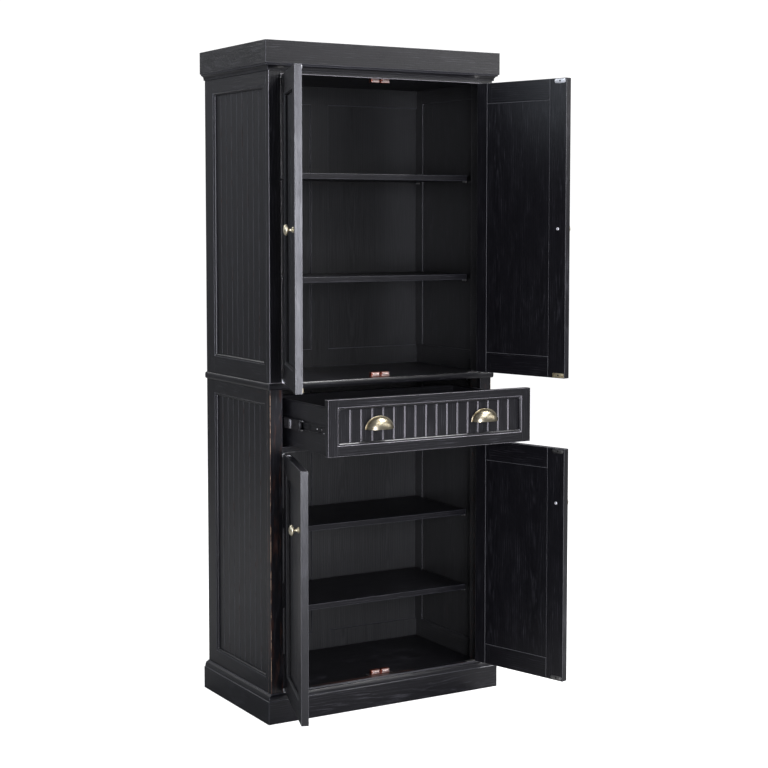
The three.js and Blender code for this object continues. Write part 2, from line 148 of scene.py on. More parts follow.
def make_floor():
    """A plain white floor, wide enough to run out of view."""
    mesh = bpy.data.meshes.new("floor")
    half = FLOOR_HALF
    corners = [(-half, -half, 0), (half, -half, 0), (half, half, 0), (-half, half, 0)]
    mesh.from_pydata(corners, [], [(0, 1, 2, 3)])
    floor = bpy.data.objects.new("floor", mesh)
    bpy.context.collection.objects.link(floor)
    material, tree = new_material("white_floor")
    cloth = tree.add("BsdfDiffuse", {"Color": (0.25, 0.25, 0.25, 1)}).outputs[0]
    glow = tree.add("Emission", {"Color": (1, 1, 1, 1), "Strength": 1.0}).outputs[0]
    bright = tree.add("AddShader", {0: cloth, 1: glow}).outputs[0]
    is_seen = tree.add("LightPath").outputs["Is Camera Ray"]
    shown = tree.add("MixShader", {0: is_seen, 1: cloth, 2: bright}).outputs[0]
    tree.add("OutputMaterial", {"Surface": shown})
    mesh.materials.append(material)


def softbox(name, place, target, size, brightness, colour=(1, 1, 1)):
    """A rectangular softbox at `place`, facing `target`. Brightness is per area: white paper is about 1."""
    data = bpy.data.lights.new(name, "AREA")
    data.shape = "RECTANGLE"
    data.size, data.size_y = size
    data.energy = brightness * math.pi * size[0] * size[1]
    data.color = colour
    light = bpy.data.objects.new(name, data)
    light.location = place
    light.rotation_euler = (Vector(target) - Vector(place)).to_track_quat("-Z", "Y").to_euler()
    bpy.context.collection.objects.link(light)


def make_lights():
    """A white studio: a pale surround that the camera sees, dimmer as a light, and soft boxes."""
    world = bpy.data.worlds.new("studio")
    bpy.context.scene.world = world
    world.use_nodes = True
    world.node_tree.nodes.clear()
    tree = Tree(world.node_tree)
    surround = tree.add("Background", {"Color": (0.88, 0.91, 1, 1), "Strength": 0.22}).outputs[0]
    seen = tree.add("Background", {"Color": (1, 1, 1, 1), "Strength": 1.1}).outputs[0]
    is_seen = tree.add("LightPath").outputs["Is Camera Ray"]
    shown = tree.add("MixShader", {0: is_seen, 1: surround, 2: seen}).outputs[0]
    tree.add("OutputWorld", {"Surface": shown})
    middle = (0, 0, 1)
    softbox("softbox_key", (-1.5, -4.9, 1.2), middle, (1.2, 2.3), 21.5, (0.89, 0.9, 1))
    softbox("softbox_fill", (3.7, -4.7, 2.7), middle, (2.4, 1.4), 2.4)
    softbox("softbox_back", (-2.5, 3.9, 1.7), (-0.35, 0, 1), (3.0, 2.6), 0.08)
    softbox("softbox_back_floor", (-1.7, 3.2, 3.2), (-1.5, 2.4, 0), (2.2, 2.2), 3.0)
    softbox("softbox_left", (-3.4, 0.0, 2.75), (0.4, 0, 2.1), (1.6, 1.1), 6.0, (0.82, 0.9, 1))
    softbox("softbox_right", (4.9, -3.9, 2.8), middle, (2.2, 2.0), 3.0, (1, 0.98, 0.96))
    softbox("softbox_top", (1.9, -0.7, 4.3), middle, (2.4, 1.6), 32.0)
    softbox("softbox_floor", (0.9, -3.6, 3.6), (1.4, -3.2, 0), (2.6, 1.6), 8.0)


bpy.context.scene.view_settings.view_transform = "Standard"
make_camera()
make_floor()
make_lights()


# ---- Painted oak ----

SIDE_BOARD = 18.5 * MM
EDGE_BAND = 4 * MM  # how far in from the cabinet's outer corners the wear reaches
RINGS_PER_METRE = 165
GRAIN_DEPTH = 0.1 * MM
SATIN = 0.26  # the paint's roughness
MATT_TOP = 0.4  # how much rougher the unseen top is
PAINT_DARK = (0.0036, 0.0034, 0.0045, 1)
PAINT_LIGHT = (0.0095, 0.0092, 0.0118, 1)
GRAIN_PALE = (0.075, 0.073, 0.085, 1)
# Painted light and shade on the faces inside the cabinet, as the dark and light ends of the grain: the lower
# cabinet is painted lighter and the upper one darker.
INSIDE_PAINTED_LIGHT_AND_SHADE = {
    "upper": ((0.003, 0.003, 0.0031, 1), (0.017, 0.017, 0.0175, 1)),
    "lower": ((0.01, 0.01, 0.01, 1), (0.045, 0.045, 0.045, 1)),
}
# Colours of the rounded edges. They are paler than the paint as painted highlights of the light the rounding
# catches; the thin one also stands for paint worn thin there.
THIN_PAINT_AND_HIGHLIGHT = (0.055, 0.055, 0.065, 1)
SILVER_PAINTED_HIGHLIGHT = (0.16, 0.16, 0.17, 1)
PALE_PAINTED_HIGHLIGHT = (0.42, 0.4, 0.43, 1)
RUBBED_BROWN = (0.09, 0.035, 0.022, 1)
BARE_WOOD = (0.5, 0.33, 0.22, 1)


def oak_grain_group():
    """Open oak grain along Z: Height is for the bump, Figure for changes of tone, Rings for growth lines."""
    group = bpy.data.node_groups.new("oak_grain", "ShaderNodeTree")
    group.interface.new_socket("Vector", in_out="INPUT", socket_type="NodeSocketVector")
    for output in ("Height", "Figure", "Rings"):
        group.interface.new_socket(output, in_out="OUTPUT", socket_type="NodeSocketFloat")
    tree = Tree(group)
    start = group.nodes.new("NodeGroupInput").outputs[0]
    pores = tree.noise(start, (900, 900, 22), 3, 0.6)
    streaks = tree.noise(start, (210, 210, 3.5), 3, 0.6)
    # The arches of flat-sawn boards: the log's rings, cut by boards 160 mm wide that lean a little along it.
    x, _, z = tree.add("SeparateXYZ", {0: start}).outputs
    across = tree.math("SUBTRACT", tree.math("PINGPONG", x, 0.16), 0.08)
    along = tree.math("SUBTRACT", tree.math("PINGPONG", z, 0.9), 0.4)
    lean = tree.math("ADD", tree.math("MULTIPLY", along, 0.05), tree.math("MULTIPLY", streaks, 0.012))
    squares = tree.math("ADD", tree.math("MULTIPLY", across, across), tree.math("MULTIPLY", lean, lean))
    wander = tree.math("MULTIPLY", tree.noise(start, (40, 40, 16)), 0.009)
    ring_radius = tree.math("ADD", tree.math("SQRT", squares), wander)
    phase = tree.math("MULTIPLY", ring_radius, RINGS_PER_METRE * 2 * math.pi)
    rings = tree.ramp(tree.math("SINE", phase), -0.2, 1)
    open_pores = tree.ramp(pores, 0.5, 0.66)
    height = tree.math("ADD", tree.math("MULTIPLY", open_pores, -0.5), tree.math("MULTIPLY", streaks, 0.9))
    height = tree.math("ADD", height, tree.math("MULTIPLY", rings, 0.3))
    figure = tree.math("ADD", tree.math("MULTIPLY", streaks, 0.8), tree.math("MULTIPLY", rings, 0.3))
    figure = tree.math("SUBTRACT", figure, tree.math("MULTIPLY", open_pores, 0.15))
    # The pale lines of the rings show in patches, where the pores are open.
    lines = tree.ramp(rings, 0.55, 1.0)
    showing = tree.ramp(tree.noise(start, (45, 45, 12), 4, 0.65), 0.42, 0.66)
    broken = tree.math("ADD", tree.math("MULTIPLY", open_pores, 0.8), 0.2)
    pale = tree.math("MULTIPLY", tree.math("MULTIPLY", lines, showing), broken)
    end = group.nodes.new("NodeGroupOutput")
    group.links.new(height, end.inputs["Height"])
    group.links.new(figure, end.inputs["Figure"])
    group.links.new(pale, end.inputs["Rings"])
    return group


OAK_GRAIN = oak_grain_group()
ALONG_X = (0, math.pi / 2, 0)
ALONG_Y = (math.pi / 2, 0, 0)


def grain_coordinates(tree, place, run):
    """Coordinates with the grain along Z. `place` is the board's own frame: x across it and z up it.

    `run` is "up" or "across"; a pair (centre, half) for a frame whose rails run across, within `half` of
    x = `centre`; or "mitred" for a moulding wrapped round the front and sides. The second result is the
    distance to the nearest joint between two boards, or None.
    """
    local = tree.add("TexCoord").outputs["Object"]
    location, rotation, _ = place.decompose()
    moved = {"Vector": local, "Location": location, "Rotation": rotation.to_euler()}
    board = tree.add("Mapping", moved, vector_type="TEXTURE").outputs[0]
    if run == "up":
        return board, None
    across = tree.add("Mapping", {"Vector": board, "Rotation": ALONG_X}).outputs[0]
    if run == "across":
        return across, None
    x = tree.add("SeparateXYZ", {0: board}).outputs[0]
    if run == "mitred":
        y = tree.add("SeparateXYZ", {0: board}).outputs[1]
        to_side = tree.math("SUBTRACT", tree.math("ABSOLUTE", x), CARCASS_HALF)
        to_front = tree.math("SUBTRACT", CARCASS_FRONT, y)
        past = tree.math("SUBTRACT", to_side, to_front)
        deep = tree.add("Mapping", {"Vector": board, "Rotation": ALONG_Y}).outputs[0]
        is_side = tree.math("GREATER_THAN", past, 0.0)
        return tree.blend_vector(is_side, across, deep), tree.math("ABSOLUTE", past)
    centre, half = run
    from_centre = tree.math("ABSOLUTE", tree.math("SUBTRACT", x, centre))
    to_joint = tree.math("SUBTRACT", from_centre, half)
    is_stile = tree.math("GREATER_THAN", to_joint, 0.0)
    return tree.blend_vector(is_stile, across, board), tree.math("ABSOLUTE", to_joint)


def inside_mask(tree):
    """1 on the faces of the carcass boards that look into the cabinet."""
    x, y, _ = tree.add("SeparateXYZ", {0: tree.add("TexCoord").outputs["Object"]}).outputs
    within = tree.math("LESS_THAN", tree.math("ABSOLUTE", x), CARCASS_HALF - SIDE_BOARD / 2)
    behind = tree.math("GREATER_THAN", y, CARCASS_FRONT + SIDE_BOARD * 0.9)
    return tree.math("MULTIPLY", within, behind)


def painted_oak(
    name, place, run, rubbed=0.0, rough=SATIN, inside="none", level="upper", gloss=0.5, dull_from=None
):
    """Satin black paint over open-grained oak, with a fine groove at the joints between boards.

    `rubbed` is how much of the face has worn through to the brown primer, from 0 to 1. `inside` says where
    the inside's colour goes: "none", "all", or "lined" for the inner faces of a carcass board. That colour
    is painted light and shade, as the light falls inside: lighter in the lower cabinet, darker in the upper.
    `level` picks which, and `gloss` is the shader's own specular level. Paint above the height `dull_from`
    is matt.
    """
    material, tree = new_material(name)
    vector, to_joint = grain_coordinates(tree, place, run)
    # Each board shows its own stretch of grain.
    shuffle = tree.math("MULTIPLY", tree.add("ObjectInfo").outputs["Random"], 9.0)
    vector = tree.add("VectorMath", {0: vector, 1: shuffle}, operation="ADD").outputs[0]
    grain = tree.add("Group", {"Vector": vector}, node_tree=OAK_GRAIN)
    height, figure = grain.outputs["Height"], grain.outputs["Figure"]
    colour = tree.blend_colour(figure, PAINT_DARK, PAINT_LIGHT)
    if inside != "none":
        # The inside faces get painted light and shade in place of the outside paint's tone.
        lining = tree.blend_colour(figure, *INSIDE_PAINTED_LIGHT_AND_SHADE[level])
        colour = tree.blend_colour(1.0 if inside == "all" else inside_mask(tree), colour, lining)
    if inside != "all":
        colour = tree.blend_colour(tree.math("MULTIPLY", grain.outputs["Rings"], 0.7), colour, GRAIN_PALE)
    roughness = tree.math("ADD", tree.math("MULTIPLY", figure, 0.12), rough)
    if dull_from is not None:
        z = tree.add("SeparateXYZ", {0: tree.add("TexCoord").outputs["Object"]}).outputs[2]
        is_top = tree.math("GREATER_THAN", z, dull_from)
        roughness = tree.math("ADD", roughness, tree.math("MULTIPLY", is_top, MATT_TOP))
    if to_joint is not None:
        line = tree.ramp(to_joint, 0.0012, 0.0004)
        height = tree.math("SUBTRACT", height, tree.math("MULTIPLY", line, 2.0))
    if rubbed:
        patches = tree.noise(vector, (60, 60, 9), 4, 0.7)
        start = 0.72 - 0.2 * rubbed
        through = tree.math("MULTIPLY", tree.ramp(patches, start, start + 0.12), 0.4)
        colour = tree.blend_colour(through, colour, RUBBED_BROWN)
    bump = tree.add("Bump", {"Strength": 1.0, "Distance": GRAIN_DEPTH, "Height": height})
    finish_material(tree, {
        "Base Color": colour,
        "Roughness": roughness,
        "Specular IOR Level": gloss,
        "Normal": bump.outputs[0],
    })
    return material


def arris_paint(name, thin, rubbed):
    """The rounded edge of a painted board: the colour `thin`, a painted highlight, bare in places.

    `rubbed` is how bare, from 0 to about 1. Most wear is on the cabinet's outer corners, where hands and
    feet reach it.
    """
    material, tree = new_material(name)
    local = tree.add("TexCoord").outputs["Object"]
    x = tree.add("SeparateXYZ", {0: local}).outputs[0]
    outer = tree.math("GREATER_THAN", tree.math("ABSOLUTE", x), CARCASS_HALF - EDGE_BAND)
    worn_here = tree.math("ADD", outer, 0.6, clamp=True)
    patches = tree.math("MULTIPLY", tree.noise(local, (30, 30, 30), 4, 0.7), worn_here)
    brown_from = 0.68 - 0.32 * rubbed
    colour = tree.blend_colour(tree.ramp(patches, brown_from, brown_from + 0.08), thin, RUBBED_BROWN)
    colour = tree.blend_colour(tree.ramp(patches, brown_from + 0.1, brown_from + 0.18), colour, BARE_WOOD)
    fine = tree.noise(local, (900, 900, 900), 2, 0.6)
    bump = tree.add("Bump", {"Strength": 0.2, "Distance": 0.0003, "Height": fine})
    finish_material(tree, {"Base Color": colour, "Roughness": 0.3, "Normal": bump.outputs[0]})
    return material


_, side_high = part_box("upper_right_side_frame")
face_low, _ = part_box("upper_face_frame")
CARCASS_HALF = side_high.x
CARCASS_FRONT = face_low.y
# Each edge material is a painted highlight on the rounded arris, with real wear through to brown and bare
# wood where rubbed.
THIN_HIGHLIGHT_ARRIS = arris_paint("arris_thin_highlight", THIN_PAINT_AND_HIGHLIGHT, 0.0)
PALE_HIGHLIGHT_ARRIS = arris_paint("arris_pale_highlight", PALE_PAINTED_HIGHLIGHT, 0.0)
SILVER_HIGHLIGHT_ARRIS = arris_paint("arris_silver_highlight", SILVER_PAINTED_HIGHLIGHT, 0.0)
FLECKED_HIGHLIGHT_ARRIS = arris_paint("arris_flecked_highlight", SILVER_PAINTED_HIGHLIGHT, 1.15)
WORN_HIGHLIGHT_ARRIS = arris_paint("arris_worn_highlight", THIN_PAINT_AND_HIGHLIGHT, 1.0)
TURNED = Matrix.Rotation(math.pi / 2, 4, "Z")


def door_place(level, side):
    """A door's own frame: the hinge line at x = 0, the front face towards -y when the door is shut."""
    joint = joints[f"{level}_{side}_door_hinge"]
    angle = math.radians(-joint["range_deg"][0]) * joint["axis"][2]
    return Matrix.Translation(joint["pos_m"]) @ Matrix.Rotation(angle, 4, "Z")


SHARP_ANGLE = math.radians(40)
ARRIS_ANGLE = math.radians(50)
WELD_DISTANCE = 0.01 * MM


def smooth_by_angle_group():
    """Geometry nodes that shade a piece smooth, except across edges sharper than SHARP_ANGLE."""
    group = bpy.data.node_groups.new("smooth_by_angle", "GeometryNodeTree")
    group.interface.new_socket("Geometry", in_out="INPUT", socket_type="NodeSocketGeometry")
    group.interface.new_socket("Geometry", in_out="OUTPUT", socket_type="NodeSocketGeometry")
    start = group.nodes.new("NodeGroupInput")
    facets = group.nodes.new("GeometryNodeRemoveAttribute")
    facets.inputs["Name"].default_value = "custom_normal"
    smooth = group.nodes.new("GeometryNodeSetShadeSmooth")
    angle = group.nodes.new("GeometryNodeInputMeshEdgeAngle")
    is_sharp = group.nodes.new("FunctionNodeCompare")
    is_sharp.inputs["B"].default_value = SHARP_ANGLE
    sharp = group.nodes.new("GeometryNodeSetShadeSmooth")
    sharp.domain = "EDGE"
    sharp.inputs["Shade Smooth"].default_value = False
    end = group.nodes.new("NodeGroupOutput")
    group.links.new(start.outputs[0], facets.inputs["Geometry"])
    group.links.new(facets.outputs["Geometry"], smooth.inputs["Geometry"])
    group.links.new(smooth.outputs["Geometry"], sharp.inputs["Geometry"])
    group.links.new(angle.outputs["Unsigned Angle"], is_sharp.inputs["A"])
    group.links.new(is_sharp.outputs["Result"], sharp.inputs["Selection"])
    group.links.new(sharp.outputs["Geometry"], end.inputs[0])
    return group


SMOOTH_BY_ANGLE = smooth_by_angle_group()


def round_arrises(node, width):
    """Welds the node's facets together and rounds its arrises, with its second material on them.

    The shading is then smooth across the rounding, and flat on the flat faces.
    """
    node.modifiers.new("weld", "WELD").merge_threshold = WELD_DISTANCE
    bevel = node.modifiers.new("arrises", "BEVEL")
    bevel.width = width
    bevel.segments = 2
    bevel.limit_method = "ANGLE"
    bevel.angle_limit = ARRIS_ANGLE
    bevel.use_clamp_overlap = False
    bevel.harden_normals = False
    bevel.material = 1
    node.modifiers.new("shading", "NODES").node_group = SMOOTH_BY_ANGLE
    flat = node.modifiers.new("flat_faces", "WEIGHTED_NORMAL")
    flat.keep_sharp = True
    flat.weight = 100


# How wide the arrises are rounded.
BOARD_ARRIS = 0.8 * MM
MOULDING_ARRIS = 0.7 * MM
FACE_ARRIS = 1.0 * MM
SIDE_FRAME_ARRIS = 0.6 * MM
SIDE_PANEL_ARRIS = 0.35 * MM
BACK_ARRIS = 0.5 * MM
DOOR_ARRIS = 0.45 * MM
DRAWER_PANEL_ARRIS = 0.7 * MM
DRAWER_BOTTOM_ARRIS = 0.3 * MM


def set_materials(node, materials):
    node.data.materials.clear()
    for material in materials:
        node.data.materials.append(material)


def paint_node(name, material, arris=BOARD_ARRIS, arris_material=None):
    """Paints a CAD board, and rounds its arrises by the width `arris`."""
    set_materials(nodes[name], [material, arris_material or THIN_HIGHLIGHT_ARRIS])
    round_arrises(nodes[name], arris)


CARCASS_RUBBED = {"upper": 0.2, "lower": 0.4}
FACE_RUBBED = {"upper": 0.2, "lower": 1.0}


def paint_carcass():
    """The mouldings, the face frames and the side boards."""
    mitred = painted_oak("paint_mouldings", IDENTITY, "mitred")
    for name in ("waist_board", "plinth"):
        paint_node(name, mitred, MOULDING_ARRIS)
    _, crown_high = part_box("crown")
    crown = painted_oak("paint_crown", IDENTITY, "mitred", dull_from=crown_high.z - 0.5 * MM)
    paint_node("crown", crown, MOULDING_ARRIS)
    for level in LEVELS:
        # The inner faces of these boards get the inside's painted light and shade.
        lined = {"inside": "lined", "level": level}
        rubbed = CARCASS_RUBBED[level]
        face = painted_oak(f"paint_{level}_face", IDENTITY, (0, FACE_OPENING), FACE_RUBBED[level], **lined)
        # The face frame's edges get a painted highlight, worn through in the lower one.
        paint_node(f"{level}_face_frame", face, FACE_ARRIS, WORN_HIGHLIGHT_ARRIS if level == "lower" else PALE_HIGHLIGHT_ARRIS)
        for side, _ in SIDES:
            panel_low, panel_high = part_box(f"{level}_{side}_side_panel")
            middle = (panel_low.y + panel_high.y) / 2
            half = (panel_high.y - panel_low.y) / 2
            board = f"paint_{level}_{side}"
            frame_paint = painted_oak(f"{board}_side", TURNED, (middle, half), rubbed, **lined)
            panel_paint = painted_oak(f"{board}_panel", TURNED, "up", rubbed, **lined)
            paint_node(f"{level}_{side}_side_frame", frame_paint, SIDE_FRAME_ARRIS)
            # The side panel's edges get the silver painted highlight, flecked with real wear.
            paint_node(f"{level}_{side}_side_panel", panel_paint, SIDE_PANEL_ARRIS, FLECKED_HIGHLIGHT_ARRIS)


def paint_inside():
    """The shelves, the ceiling, the floor and the backs."""
    across = painted_oak("paint_inside_across", IDENTITY, "across", rough=0.42, gloss=0.3)
    for name in nodes:
        if name.endswith("_shelf") or name in ("upper_ceiling_board", "lower_floor_board"):
            paint_node(name, across)
    for level in LEVELS:
        # The backs are coloured all over with the inside's painted light and shade.
        up = painted_oak(f"paint_{level}_back", IDENTITY, "up", rough=0.3, inside="all", level=level)
        paint_node(f"{level}_back", up, BACK_ARRIS)


def paint_doors():
    """The frame and the panel of each door, with the grain turned to the way the door stands."""
    for level in LEVELS:
        for side, sign in SIDES:
            place = door_place(level, side)
            rails = (-sign * DOOR_CENTRE, DOOR_RAIL_HALF)
            name = f"{level}_{side}_door"
            frame_paint = painted_oak(f"paint_{name}", place, rails)
            panel_paint = painted_oak(f"paint_{name}_panel", place, "up")
            # The door's edges get the silver painted highlight.
            paint_node(f"{name}_frame", frame_paint, DOOR_ARRIS, SILVER_HIGHLIGHT_ARRIS)
            paint_node(f"{name}_panel", panel_paint, DOOR_ARRIS, SILVER_HIGHLIGHT_ARRIS)


def paint_drawer():
    _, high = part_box("drawer_front_panel")
    frame_paint = painted_oak("paint_drawer_frame", IDENTITY, (0, high.x))
    panel_paint = painted_oak("paint_drawer_panel", IDENTITY, "up")
    # The drawer's edges and beads get the pale painted highlight.
    paint_node("drawer_front_frame", frame_paint, DOOR_ARRIS, PALE_HIGHLIGHT_ARRIS)
    paint_node("drawer_front_panel", panel_paint, DRAWER_PANEL_ARRIS, PALE_HIGHLIGHT_ARRIS)
    across = painted_oak("paint_drawer_across", IDENTITY, "across")
    deep = painted_oak("paint_drawer_deep", TURNED, "across")
    paint_node("drawer_bottom", across, DRAWER_BOTTOM_ARRIS)
    paint_node("drawer_back", across)
    paint_node("drawer_left_side", deep)
    paint_node("drawer_right_side", deep)


FACE_STILE = 36.5 * MM
FACE_OPENING = CARCASS_HALF - FACE_STILE
DOOR_CENTRE = 155.5 * MM  # the middle of a door's rails, from its hinge line
DOOR_RAIL_HALF = 102 * MM
paint_carcass()
paint_inside()
paint_doors()
paint_drawer()


# ---- Metal finishes ----

def metal(name, colour, tarnish, roughness, patch_size=0.006, scratches=(2500, 2500, 2500)):
    """A plated metal with patches of the colour `tarnish`. `scratches` is cells per metre on each axis."""
    material, tree = new_material(name)
    local = tree.add("TexCoord").outputs["Object"]
    cells = 1 / patch_size
    patches = tree.noise(local, (cells, cells, cells), 3, 0.6)
    tint = tree.blend_colour(tree.ramp(patches, 0.45, 0.75), colour, tarnish)
    gloss = tree.math("ADD", tree.math("MULTIPLY", patches, 0.16), roughness - 0.08)
    bump = tree.add("Bump", {"Strength": 0.5, "Distance": 0.00004, "Height": tree.noise(local, scratches)})
    finish_material(tree, {
        "Base Color": tint,
        "Metallic": 1.0,
        "Roughness": gloss,
        "Normal": bump.outputs[0],
    })
    return material


def moulded_plastic(name, colour, worn_colour):
    """Matt plastic with a fine moulded grain."""
    material, tree = new_material(name)
    local = tree.add("TexCoord").outputs["Object"]
    grain = tree.noise(local, (3000, 3000, 3000))
    bump = tree.add("Bump", {"Strength": 0.4, "Distance": 0.00005, "Height": grain})
    tint = tree.blend_colour(grain, colour, worn_colour)
    finish_material(tree, {"Base Color": tint, "Roughness": 0.4, "Normal": bump.outputs[0]})
    return material


BRASS = metal("antique_brass", (0.34, 0.305, 0.225, 1), (0.14, 0.11, 0.06, 1), 0.32, 0.012, (400, 400, 3000))
# The knobs' brass is the pulls' antique brass made much lighter: painted light.
KNOB_BRASS_PAINTED_LIGHT = metal("knob_brass_painted_light", (0.78, 0.71, 0.53, 1), (0.34, 0.27, 0.14, 1), 0.36, 0.012)
PALE_BRASS = metal("pale_brass", (0.85, 0.76, 0.52, 1), (0.5, 0.38, 0.2, 1), 0.55)
ZINC = metal("bright_zinc", (0.78, 0.78, 0.8, 1), (0.5, 0.5, 0.52, 1), 0.35)
WHITE_ZINC = metal("white_zinc", (0.92, 0.92, 0.94, 1), (0.75, 0.75, 0.77, 1), 0.55)
NICKEL = metal("satin_nickel", (0.36, 0.355, 0.35, 1), (0.2, 0.19, 0.18, 1), 0.4)
BLACK_ZINC = metal("black_zinc", (0.07, 0.07, 0.075, 1), (0.03, 0.03, 0.032, 1), 0.3, 0.02)
ROSE_STEEL = metal("rose_steel", (0.72, 0.58, 0.55, 1), (0.5, 0.26, 0.2, 1), 0.4)
COPPER_BROWN = metal("copper_brown", (0.36, 0.11, 0.07, 1), (0.12, 0.03, 0.02, 1), 0.4)
BLACK_PLASTIC = moulded_plastic("black_plastic", (0.012, 0.012, 0.013, 1), (0.02, 0.02, 0.021, 1))


# ---- Solid builders, in millimetres ----

def block(bm, low, high, rounding, material=0):
    """A box from corner `low` to corner `high`, with its edges rounded."""
    size = [b - a for a, b in zip(low, high)]
    middle = [(a + b) / 2 for a, b in zip(low, high)]
    place = Matrix.Translation(middle) @ Matrix.Diagonal((*size, 1))
    verts = bmesh.ops.create_cube(bm, size=1, matrix=place)["verts"]
    edges = {edge for vert in verts for edge in vert.link_edges}
    round_edges(bm, verts, list(edges), rounding, material)


def prism(bm, outline, z0, z1, rounding, material=0):
    """A closed outline in X and Y, raised from z0 to z1, with its rims rounded."""
    lower = [bm.verts.new((x, y, z0)) for x, y in outline]
    upper = [bm.verts.new((x, y, z1)) for x, y in outline]
    rims = list(bm.faces.new(lower[::-1]).edges) + list(bm.faces.new(upper).edges)
    for i in range(len(outline)):
        j = (i + 1) % len(outline)
        bm.faces.new((lower[i], lower[j], upper[j], upper[i]))
    round_edges(bm, lower + upper, rims, rounding, material)


def round_edges(bm, verts, edges, rounding, material):
    """Rounds `edges` and gives every face round `verts` its material."""
    rounded = bmesh.ops.bevel(
        bm, geom=edges, offset=rounding, segments=2, affect="EDGES", profile=0.5, clamp_overlap=True
    )
    left = [vert for vert in verts if vert.is_valid] + rounded["verts"]
    for face in {face for vert in left for face in vert.link_faces}:
        face.material_index = material


def lathe(bm, profile, place=IDENTITY, segments=36, material=0):
    """Points (radius, height) turned about Z. A radius is a number, or a function of the turn in radians.

    A point on the axis, of radius 0, closes the surface there.
    """
    rings = []
    for radius, height in profile:
        if radius == 0:
            rings.append([bm.verts.new(place @ Vector((0, 0, height)))])
            continue
        ring = []
        for i in range(segments):
            turn = 2 * math.pi * i / segments
            reach = radius(turn) if callable(radius) else radius
            point = Vector((reach * math.cos(turn), reach * math.sin(turn), height))
            ring.append(bm.verts.new(place @ point))
        rings.append(ring)
    for lower, upper in zip(rings, rings[1:]):
        for i in range(segments):
            near, far = [[ring[k % len(ring)] for ring in (lower, upper)] for k in (i, i + 1)]
            corners = [near[0], far[0], far[1], near[1]]
            bm.faces.new(dict.fromkeys(corners)).material_index = material


def slot_outline(length, width, steps=10):
    """An outline with half-round ends, centred, long in X."""
    radius = width / 2
    points = []
    for centre, start in ((length / 2 - radius, -90), (radius - length / 2, 90)):
        for i in range(steps + 1):
            turn = math.radians(start + 180 * i / steps)
            points.append((centre + radius * math.cos(turn), radius * math.sin(turn)))
    return points


def cross_outline(arm, half):
    """The reach of a plus sign with arms `arm` long and 2 * `half` wide, for each turn."""
    def reach(turn):
        c, s = abs(math.cos(turn)) + 1e-6, abs(math.sin(turn)) + 1e-6
        return max(min(half / s, arm / c), min(arm / s, half / c))
    return reach


def screw(bm, place, radius=3.5, material=0):
    """A pan-headed screw standing on the local XY plane, with a cross recess."""
    height = 0.55 * radius
    profile = [(0, -1), (radius * 0.95, -1), (radius, 0.1), (radius, height * 0.3)]
    profile += [(radius * 0.9, height * 0.7), (radius * 0.7, height * 0.95)]
    profile += [(cross_outline(radius * 0.58, radius * 0.15), height)]
    profile += [(cross_outline(radius * 0.45, radius * 0.09), height * 0.35), (0, height * 0.3)]
    lathe(bm, profile, place, 40, material)


def facing(direction):
    """Turns local +Z to `direction`."""
    return Vector(direction).to_track_quat("Z", "Y").to_matrix().to_4x4()


def mirror_x(sign):
    return Matrix.Diagonal((sign, 1, 1, 1))


def add_piece(name, body, materials, bm, place=IDENTITY, replaces=()):
    """Makes a piece that rides on `body`, from solids in millimetres set at `place`, in millimetres too."""
    bm.transform(Matrix.Scale(MM, 4) @ place)
    bmesh.ops.recalc_face_normals(bm, faces=bm.faces)
    mesh = bpy.data.meshes.new(name)
    bm.to_mesh(mesh)
    bm.free()
    piece = bpy.data.objects.new(name, mesh)
    bpy.context.collection.objects.link(piece)
    for material in materials:
        mesh.materials.append(material)
    piece.modifiers.new("shading", "NODES").node_group = SMOOTH_BY_ANGLE
    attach(piece, body)
    if replaces:
        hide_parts(*replaces)


def box_mm(name):
    """A CAD node's lowest and highest corners in millimetres."""
    low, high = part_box(name)
    return low / MM, high / MM


def finish_metal_node(name, material, arris):
    """Gives a metal CAD node its finish and slightly rounded edges."""
    node = nodes[name]
    set_materials(node, [material])
    round_arrises(node, arris)
    node.modifiers["arrises"].material = 0


# ---- Door hardware ----

# From the hinge line, as in the CAD.
DOOR_FREE_EDGE = 316.5
DOOR_FRONT = 2.5
DOOR_REAR = 21.5
KNOB_FROM_HINGE = 289.5
KNOB_SUNK = 0.3


def hardware_place(level, side, sign):
    """A door's own frame in millimetres, either hand: x from hinge line to free edge, z from the floor."""
    place = door_place(level, side)
    hinge_line = place.translation / MM
    return Matrix.Translation((hinge_line.x, hinge_line.y, 0)) @ place.to_3x3().to_4x4() @ mirror_x(-sign)


def knob_profile():
    """A mushroom knob: a stepped foot, a waisted stem, and a domed cap with a rolled edge."""
    foot = [(0, 0), (8, 0), (8.3, 0.6), (8.1, 1.3), (7.2, 1.8)]
    stem = [(4.3 + 2.7 * (1 - math.sin(math.pi * i / 10)) ** 1.6, 2.2 + 1.15 * i) for i in range(11)]
    under = [(9, 14.4), (12, 15.2), (13.6, 16.4)]
    turns = [math.radians(9 * i) for i in range(10)]
    cap = [(14 * math.cos(turn), 18 + 8 * math.sin(turn)) for turn in turns]
    return foot + stem + under + cap + [(0, 26)]


def make_knob(name, place):
    """The knob on the door's front, and its screw's head on the back."""
    low, high = box_mm(f"{name}_knob")
    height = (low.z + high.z) / 2
    bm = bmesh.new()
    seat = Matrix.Translation((KNOB_FROM_HINGE, DOOR_FRONT - KNOB_SUNK, height)) @ facing((0, -1, 0))
    lathe(bm, knob_profile(), seat, 48)
    # The knob gets the lighter brass, which is painted light.
    add_piece(f"{name}_knob_turned", name, [KNOB_BRASS_PAINTED_LIGHT], bm, place, [f"{name}_knob"])
    bm = bmesh.new()
    screw(bm, Matrix.Translation((KNOB_FROM_HINGE, DOOR_REAR, height)) @ facing((0, 1, 0)), 4.6)
    add_piece(f"{name}_knob_screw", name, [WHITE_ZINC], bm, place)


